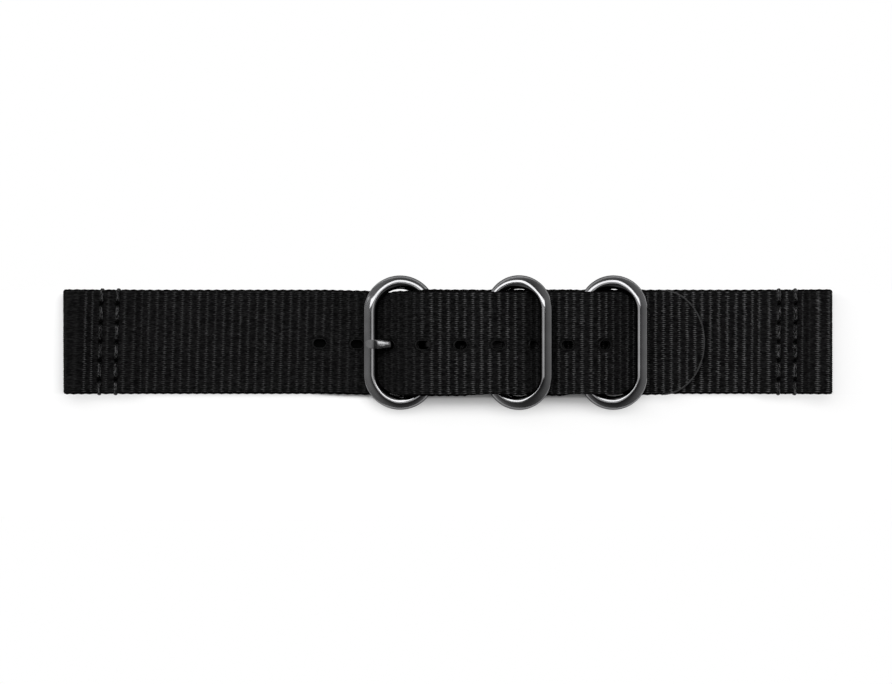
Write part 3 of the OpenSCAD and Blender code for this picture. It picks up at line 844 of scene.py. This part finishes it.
# melted beads along the cut tip and round the holes

def tubeAlong(name, points, radius, closed=False, sides=2, swell=None, weld=0.000001):
    curve = bpy.data.curves.new(name, "CURVE")
    curve.dimensions = "3D"
    curve.bevel_depth = radius
    curve.bevel_resolution = sides
    curve.use_fill_caps = not closed
    for run in points:
        spline = curve.splines.new("POLY")
        spline.points.add(len(run) - 1)
        spline.points.foreach_set("co", np.concatenate([run, np.ones((len(run), 1))], 1).ravel())
        if swell is not None:
            spline.points.foreach_set("radius", swell)
        spline.use_cyclic_u = closed
    obj = bpy.data.objects.new(name, curve)
    bpy.context.scene.collection.objects.link(obj)
    onlyThis(obj)
    bpy.ops.object.convert(target="MESH")
    obj = bpy.context.object
    editAll(
        obj,
        lambda: bpy.ops.mesh.remove_doubles(threshold=weld),
        lambda: bpy.ops.mesh.normals_make_consistent(inside=False),
    )
    smooth(obj)
    return obj


bead = {
    "tipR": 0.14, "holeR": 0.13, "sink": 0.15, "inset": 0.04, "tipPoints": 80, "holePoints": 40, "seed": 3,
    "tipUneven": 0.12, "holeUneven": 0.06, "least": 0.45, "lugSwell": 0.6, "lugLift": 0.04,
}


def makeSeals():
    rng = np.random.RandomState(bead["seed"])
    curve = tipCurve(bead["inset"], bead["tipPoints"])
    for side, label in ((1, "upper"), (-1, "lower")):
        n = np.full(len(curve), side * (thick / 2 - bead["sink"]))
        points = bendOn(longLine, np.column_stack([curve, n]), longLean, longDrift)
        swell = 1 + rng.normal(0, bead["tipUneven"], len(curve))
        piece = tubeAlong(f"tip_seal_{label}", [placed(points)], bead["tipR"] * mm, swell=swell)
        finishPiece(piece, "straps", tipLitFinish)
    outline = stadium(holes["length"] - bead["inset"], holes["width"] - bead["inset"], bead["holePoints"])
    lugSide = np.clip(-outline[:, 0] / holes["length"] * 2, 0, 1) ** 2
    for i in range(holes["count"]):
        rings = []
        swell = bead["least"] + bead["lugSwell"] * lugSide + rng.normal(0, bead["holeUneven"], len(outline))
        for side in (1, -1):
            flat = np.column_stack([
                outline[:, 0] + lead + holes["first"] + i * holes["pitch"],
                outline[:, 1] + holes["y"],
                side * (thick / 2 - bead["sink"] + bead["lugLift"] * lugSide),
            ])
            rings.append(placed(bendOn(longLine, flat, longLean, longDrift)))
        piece = tubeAlong(f"hole_seal_{i + 1}", rings, bead["holeR"] * mm, closed=True, swell=swell)
        points = readPoints(piece)
        points[:, 2] = np.maximum(points[:, 2], 0)
        writePoints(piece, points)
        finishPiece(piece, "straps", holeShadedFinish)


makeSeals()
print("stage: seals")


# lockstitch: a twisted thread that dips into each needle hole

# a thread's way: how far it lies below the faces, its dip into a needle hole as (distance, height)
# and its turn over the webbing's edge as (inset, height)
threadWay = {
    "under": {1: 0.16, -1: 0.34}, "dip": [(1.0, 0.02), (0.6, -0.3), (0.36, -0.75)], "hole": (0.08, 0.22),
    "edgeEnd": (0.02, 0.1), "edge": [(0.04, -0.25), (0.4, 0)], "step": 0.06, "soft": 7,
}


def stitchRoute(rowX, side, wraps, lean):
    middle = pairTop / 2
    high = middle - threadWay["under"][side]
    half = webbing["width"] / 2
    inset, low = threadWay["edgeEnd"]
    edge = [(half - inset, low), *[(half - inset, high + up) for inset, up in threadWay["edge"]]]
    holeHalf, holeZ = threadWay["hole"]
    knots = edge[:] if wraps else []
    for k, y in enumerate(reversed(holeYs)):
        if k > 0 or wraps:
            knots += [(y + off, high + up) for off, up in threadWay["dip"]]
        knots += [(y + holeHalf, holeZ), (y - holeHalf, holeZ)]
        if k < len(holeYs) - 1 or wraps:
            knots += [(y - off, high + up) for off, up in reversed(threadWay["dip"])]
    if wraps:
        knots += [(-y, h) for y, h in reversed(edge)]
    y, h = np.array(knots).T
    run = np.concatenate([[0], np.cumsum(np.hypot(np.diff(y), np.diff(h)))])
    fine = np.arange(0, run[-1], threadWay["step"])
    soft = np.hanning(threadWay["soft"])
    soft = soft / soft.sum()
    y, h = [np.interp(fine, run, v) for v in (y, h)]
    y, h = [np.convolve(np.pad(v, len(soft) // 2, mode="edge"), soft, mode="valid") for v in (y, h)]
    return np.stack([rowX + lean * y, y, middle + side * h], 1), fine


def makeThread(node, rowX, side, wraps, lean):
    route, run = stitchRoute(rowX, side, wraps, lean)
    ahead = np.gradient(route, axis=0)
    ahead /= np.linalg.norm(ahead, axis=1)[:, None]
    sideways = np.tile([1.0, 0, 0], (len(route), 1))
    upward = np.cross(ahead, sideways)
    upward /= np.linalg.norm(upward, axis=1)[:, None]
    angle = run / stitch["turn"] * 2 * math.pi
    strands = []
    for phase in np.arange(stitch["strands"]) * 2 * math.pi / stitch["strands"]:
        c, s = np.cos(angle + phase)[:, None], np.sin(angle + phase)[:, None]
        strands.append(placed(route + stitch["twistR"] * (c * sideways + s * upward)))
    piece = tubeAlong("sewn_" + node, strands, stitch["strandR"] * mm)
    # painted shade: the thread darkens near each needle hole
    near = np.abs(readPoints(piece)[:, 1, None] / mm - np.array(holeYs)).min(1)
    keepShade(piece, np.clip((stitch["darkReach"] - near) / stitch["darkFade"], 0, 1))
    finishPiece(piece, "straps", threadFinish, [node])


def makeStitches():
    for group, rows in rowsOfStitches.items():
        wraps = group.endswith("lug")
        lean = ribLean[group.split("_")[0]] if wraps else 0
        for i, row in enumerate(rows):
            number = f"_{i + 1}" if len(rows) > 1 else ""
            rowX = {"long_lug": longEnd + row, "short_lug": shortEnd - row}.get(group, row)
            for kind, side in (("needle", 1), ("bobbin", -1)):
                makeThread(f"{group}_{kind}_thread{number}", rowX, side, wraps, lean)


makeStitches()
print("stage: stitches")


# metal: round wire bent to rings, and the cast tongue

# the free bar's section: how far its crown moves in, how sharp it is and how much its inside is trimmed,
# with "fade" saying where this starts round the ring's corner and over what share of the turn it comes in
ringWire = {
    "buckle": {"barShift": 0.43, "arcShift": 0.05, "ridge": 1.8, "trim": 0.0, "fade": (0.1, 0.7)},
    "keeper": {"barShift": 0.52, "arcShift": 0.12, "ridge": 1.1, "trim": 0.5, "fade": (0.18, 0.6)},
    "trimFrom": 0.7, "round": 48, "barSteps": 14, "arcSteps": 48,
}


def ringLoop(reach, barL):
    endR = reach / 2
    bar = np.linspace(-barL / 2, barL / 2, ringWire["barSteps"], endpoint=False)
    turn = np.linspace(0, math.pi, ringWire["arcSteps"], endpoint=False)
    along = np.concatenate([0 * bar + reach, endR + endR * np.cos(turn), 0 * bar, endR - endR * np.cos(turn)])
    y = np.concatenate([bar, barL / 2 + endR * np.sin(turn), -bar, -barL / 2 - endR * np.sin(turn)])
    outA = np.concatenate([0 * bar + 1, np.cos(turn), 0 * bar - 1, -np.cos(turn)])
    outY = np.concatenate([0 * bar, np.sin(turn), 0 * bar, -np.sin(turn)])
    loop = np.stack([along, y, outA, outY], 1)
    return np.concatenate([loop, loop[:1]])


def makeRing(name, node, body, kind, axis, ahead):
    loop = ringLoop(ringReach[kind], barLength[kind])
    along, y, outA, outY = [v[:, None] for v in loop.T]
    turn = np.linspace(0, 2 * math.pi, ringWire["round"] + 1)[None, :]
    look = ringWire[kind]
    freeBar = np.clip((outA - look["fade"][0]) / look["fade"][1], 0, 1)
    shift = look["barShift"] * freeBar + look["arcShift"] * (1 - freeBar) * np.clip(outA + 1, 0, 1)
    out = wireR * np.cos(turn) - shift * np.sin(turn) ** 2
    out = out + look["trim"] * freeBar * np.maximum(0, -ringWire["trimFrom"] - out)
    above = np.maximum(0, np.sin(turn))
    up = wireR * np.sin(turn) - look["ridge"] * freeBar * above ** 2 * (1 - above)
    upright = math.atan2(ahead[1], abs(ahead[0])) * outA * freeBar
    out, up = out * np.cos(upright) + up * np.sin(upright), up * np.cos(upright) - out * np.sin(upright)
    a, y = along + out * outA, y + out * outY + ringDrop
    ax, az = ahead
    facing = math.copysign(1, ax)
    ux, uz = -facing * az, facing * ax
    points = np.stack([axis[0] + a * ax + up * ux, y, axis[1] + a * az + up * uz], 2)
    ring = rolledGrid(name, points, ringed=True)
    writePoints(ring, placed(readPoints(ring)))
    smooth(ring)
    finishPiece(ring, body, ringFinish, [node])


tongue = {
    "halfWidth": 0.85, "neck": 0.65, "half": 0.475, "loopHalf": 0.4, "y": holes["y"] - 0.15,
    "front": 3.6, "kneeX": -7.2, "loopGap": 0.06, "ringGap": 0.03, "crest": 0.32, "crestRun": 1.5,
    "inset": 0.45, "tipBend": 1, "bend": 0.8, "loopEnd": 0.5, "loopFrom": 2.4, "loopFade": 0.8, "flatTop": 0.53,
    "elbow": (0.5, 0.3), "narrows": (-0.2, 0.7), "tipLeast": 0.02, "endShare": 0.6,
    "sideRound": 0.45, "topRound": 0.6, "domeLean": 0.35,
    "round": 48, "step": 0.11, "probe": (0.01, 2.6, 260), "soft": 5,
}
# the tongue's hump over the ring's bar, by x: the height of its top, its dome, and its painted shade, darker at
# the tip, on the hump's rising side and from the hole on round the loop
hump = {
    "x": [-12.3, -11.9, -10.9, -10.45, -10.2, -9.85, -9.55, -9.0, -8.5, -8.1, -7.7, -7.2],
    "rise": [-0.12, -0.08, 0, 0.07, 0.24, 0.56, 0.73, 0.79, 0.74, 0.57, 0.38, 0.14],
    "domeX": [-10.1, -9.7, -8.2, -7.4], "dome": [0, 0.12, 0.12, 0.05],
    "shadeX": [-10.9, -10.5, -10.0, -9.7, -7.4, -6.8], "shade": [0.3, 0.75, 0.75, 0, 0, 0.93],
}


def tonguePath():
    slope = heading(*rampCorners())
    front = tongue["front"]
    inHole = (front - ringReach["buckle"], z1 + (front - lay["rampFoot"]) * math.tan(slope))
    loopR = wireR + tongue["loopGap"] + tongue["loopHalf"]
    shankZ = barZ - loopR - tongue["loopHalf"] + tongue["half"]
    tipZ = barZ + wireR + tongue["ringGap"] + tongue["half"]
    crestZ = tipZ + tongue["crest"]
    crestX = inHole[0] - (crestZ - inHole[1]) * math.tan(slope)
    elbowX = inHole[0] + (inHole[1] - shankZ) * math.tan(slope)
    line = roundedLine([
        (-ringReach["buckle"] - wireR + tongue["inset"], tipZ, 0),
        (crestX - tongue["crestRun"], tipZ, tongue["tipBend"]),
        (crestX, crestZ, tongue["bend"]), (elbowX, shankZ, tongue["bend"]),
        (loopR, barZ - loopR, loopR), (loopR, barZ + loopR, loopR), (-loopR, barZ + loopR, loopR),
        (-loopR, barZ - tongue["loopEnd"], 0),
    ])
    return line, crestX, inHole


def tongueTop(x):
    return np.interp(x, hump["x"], barZ + wireR + tongue["flatTop"] + np.array(hump["rise"]))


def makeTongue():
    line, crestX, (holeX, holeZ) = tonguePath()
    run = np.arange(0, line["run"][-1], tongue["step"])
    x, z, h = [np.interp(run, line["run"], line[k]) for k in ("x", "z", "heading")]
    nx, nz = -np.sin(h), np.cos(h)

    # the upper half grows to the hump's top, found by probing away from the path
    steps = np.linspace(*tongue["probe"])[:, None]
    px, pz = x + steps * nx, z + steps * nz
    inside = (px < tongue["kneeX"]) & (pz < tongueTop(px))
    reach = steps[:, 0][np.maximum(0, np.cumprod(inside, 0).sum(0) - 1).astype(int)]
    pastX, underZ = tongue["elbow"]
    beforeElbow = (z > holeZ - underZ) & (x < holeX + pastX)
    most = np.where(x < crestX, reach, np.maximum(reach, tongue["half"]))
    upper = np.where(beforeElbow, most, tongue["half"])
    soft = tongue["soft"]
    upper = np.convolve(np.pad(upper, soft // 2, mode="edge"), np.ones(soft) / soft, mode="valid")

    # the loop round the bar is thinner, and the tip is rounded
    toLoop = np.clip((x + tongue["loopFrom"]) / tongue["loopFade"], 0, 1) * (z < barZ)
    loopShare = np.clip(toLoop + (run > run[np.argmin(z)]), 0, 1)
    upper = upper + (tongue["loopHalf"] - upper) * loopShare
    lower = tongue["half"] + (tongue["loopHalf"] - tongue["half"]) * loopShare
    width = np.interp(x, [holeX + off for off in tongue["narrows"]], [tongue["halfWidth"], tongue["neck"]])
    width = width + (tongue["halfWidth"] - width) * loopShare
    fromTip = np.clip(run / tongue["halfWidth"], tongue["tipLeast"], 1)
    width = width * np.sqrt(1 - (1 - fromTip) ** 2)
    width[-1] = width[-1] * tongue["endShare"]

    turn = np.linspace(0, 2 * math.pi, tongue["round"] + 1)
    c, s = np.cos(turn), np.sin(turn)
    side = np.sign(c) * np.abs(c) ** tongue["sideRound"]
    lift = np.sign(s) * np.abs(s) ** tongue["topRound"]
    dome = np.interp(x, hump["domeX"], hump["dome"])[:, None] * (side + tongue["domeLean"]) ** 2
    n = np.where(lift > 0, upper[:, None], lower[:, None]) * lift - dome * np.maximum(0, lift)
    piece = rolledGrid("tongue", np.stack([
        x[:, None] + n * nx[:, None],
        tongue["y"] + width[:, None] * side,
        z[:, None] + n * nz[:, None],
    ], 2))
    writePoints(piece, placed(readPoints(piece)))
    smooth(piece, angle=70)
    reached = readPoints(piece)[:, 0] / mm - barX
    # painted shade on the tongue, by x
    keepShade(piece, np.interp(reached, hump["shadeX"], hump["shade"]))
    finishPiece(piece, "tongue", tongueFinish, ["buckle_tongue"])


makeRing("buckle_wire", "buckle_ring", "buckle", "buckle", (0, barZ), (-1, 0))
for i, (axis, tilt) in enumerate(zip(keeperAxes, keeperTilts)):
    ahead = (math.cos(tilt), math.sin(tilt))
    makeRing(f"keeper_wire_{i + 1}", f"keeper_ring_{i + 1}", f"keeper_{i + 1}", "keeper", axis, ahead)
makeTongue()
print("stage: metal")


# floor, light and camera

studio = {
    "frameWidth": 0.16955, "lens": 100.0, "sensor": 36.0, "centre": (-0.00034, -0.00004), "level": 0.002,
    "lampDistance": 0.62,
    "softbox": {"angle": 27.5, "side": -12.0, "size": (1.75, 0.32), "power": 8.2},
    "strip": {"angle": 0.5, "side": -1.0, "size": (0.8, 0.16), "power": 0.56},
    "zenith": 0.05, "horizon": 0.22, "sides": 0.4, "back": 0.12, "wallTop": 0.92,
}

# how white the floor reads by place: distances in metres, then the shares of white they blend between; this
# white glow is painted light, which lightens the cast shadow by place and whitens the whole far side, the slits
# between rings and strap too
floorShade = {
    "size": 6, "tone": 0.92,
    "ringsX": 0.0065, "pastRings": (0.025, 0.033),
    "ramp": (0.0105, 0.0145, 0.12, 0.85), "open": 0.74,
    "lip": (0.0104, 0.0108, 0.02, 1.0), "lipShift": 0.0007,
    "farEdge": (0.0091, 0.0095), "rightEnd": (0.0732, 0.0736, 0.0, 0.65),
    "strap": (0.074, 0.012), "away": (0.004, 0.022),
}

# the slip is a black sheet of painted shade under the open holes left of the fold, which read black in the
# photograph
shadeSlipPlace = {"length": 25, "width": 3.4, "x": -14.5, "z": 0.01, "tone": 0.002}


def dullMaterial(name, tone):
    material, shader, w = newMaterial(name)
    shader.inputs["Base Color"].default_value = (tone, tone, tone, 1)
    shader.inputs["Roughness"].default_value = 1.0
    shader.inputs["Specular IOR Level"].default_value = 0.0
    return material, shader, w


def whiteShare(w):
    place = w.node("ShaderNodeTexCoord", out="Object")
    x, y = place.axis("X"), place.axis("Y")
    off = y.absolute()
    pastRings = (x - floorShade["ringsX"]).absolute().clamped(*floorShade["pastRings"])
    ramp = off.clamped(*floorShade["ramp"])
    depth = ramp + (floorShade["open"] - ramp) * pastRings
    beside = (off + pastRings * floorShade["lipShift"]).clamped(*floorShade["lip"]) * depth
    behind = y.clamped(*floorShade["farEdge"]).larger(x.clamped(*floorShade["rightEnd"]))
    halfLength, halfWidth = floorShade["strap"]
    away = (x.absolute() - halfLength).larger(off - halfWidth).clamped(*floorShade["away"])
    return away.larger(beside).larger(behind)


def makeFloor():
    bpy.ops.mesh.primitive_plane_add(size=floorShade["size"])
    floor = bpy.context.object
    floor.name = "floor"
    material, shader, w = dullMaterial("white_table", floorShade["tone"])
    share = whiteShare(w)
    seen = w.node("ShaderNodeLightPath", out="Is Camera Ray")
    seen = seen.larger(w.node("ShaderNodeLightPath", out="Is Transmission Ray"))
    white = w.node("ShaderNodeEmission", Color=(1, 1, 1, 1), Strength=1.0)
    mixed = w.node("ShaderNodeMixShader", i0=seen * share, i1=Wire(w.tree, shader.outputs[0]), i2=white)
    out = [n for n in w.tree.nodes if n.type == "OUTPUT_MATERIAL"][0]
    w.tree.links.new(mixed.socket, out.inputs[0])
    floor.data.materials.append(material)


# a black sheet of painted shade under the open holes
def makeShadeSlip():
    bpy.ops.mesh.primitive_plane_add(size=1)
    slip = bpy.context.object
    slip.name = "painted_shade_slip"
    size = np.array([shadeSlipPlace["length"], shadeSlipPlace["width"], 1])
    middle = np.array([shadeSlipPlace["x"], holes["y"], shadeSlipPlace["z"]])
    writePoints(slip, (readPoints(slip) * size + middle) * mm)
    slip.data.materials.append(dullMaterial("painted_shade_slip", shadeSlipPlace["tone"])[0])


def makeLamp(name, values):
    tilt, turn = math.radians(values["angle"]), math.radians(values["side"])
    away = Vector((math.cos(tilt) * math.sin(turn), math.sin(tilt), math.cos(tilt) * math.cos(turn)))
    light = bpy.data.lights.new(name, "AREA")
    light.shape = "RECTANGLE"
    light.size, light.size_y = values["size"]
    light.energy = values["power"]
    lamp = bpy.data.objects.new(name, light)
    lamp.location = away * studio["lampDistance"]
    lamp.rotation_euler = (-tilt, turn, 0)
    bpy.context.scene.collection.objects.link(lamp)


def makeWorld():
    world = bpy.data.worlds.new("studio")
    world.use_nodes = True
    tree = world.node_tree
    tree.nodes.clear()
    w = Wire(tree, None)
    place = w.node("ShaderNodeTexCoord", out="Generated")
    side, ahead, height = [place.axis(name) for name in "XYZ"]
    tone = side * side * studio["sides"] + ahead * studio["back"] + studio["horizon"]
    wall = height.clamped(0.0, studio["wallTop"], 1.0, 0.0) * tone + studio["zenith"]
    path = w.node("ShaderNodeLightPath", out="Is Camera Ray")
    back = tree.nodes.new("ShaderNodeBackground")
    back.inputs[0].default_value = (1, 1, 1, 1)
    tree.links.new((path + (1 - path) * wall).socket, back.inputs[1])
    out = tree.nodes.new("ShaderNodeOutputWorld")
    tree.links.new(back.outputs[0], out.inputs[0])
    bpy.context.scene.world = world


def makeCamera():
    data = bpy.data.cameras.new("camera")
    data.lens = studio["lens"]
    data.sensor_width = studio["sensor"]
    camera = bpy.data.objects.new("camera", data)
    distance = studio["frameWidth"] * studio["lens"] / studio["sensor"]
    camera.location = (*studio["centre"], distance + studio["level"])
    bpy.context.scene.collection.objects.link(camera)
    bpy.context.scene.camera = camera
    bpy.context.scene.view_settings.view_transform = "Standard"


makeFloor()
makeShadeSlip()
for name in ("softbox", "strip"):
    makeLamp(name, studio[name])
makeWorld()
makeCamera()
print("stage: studio")
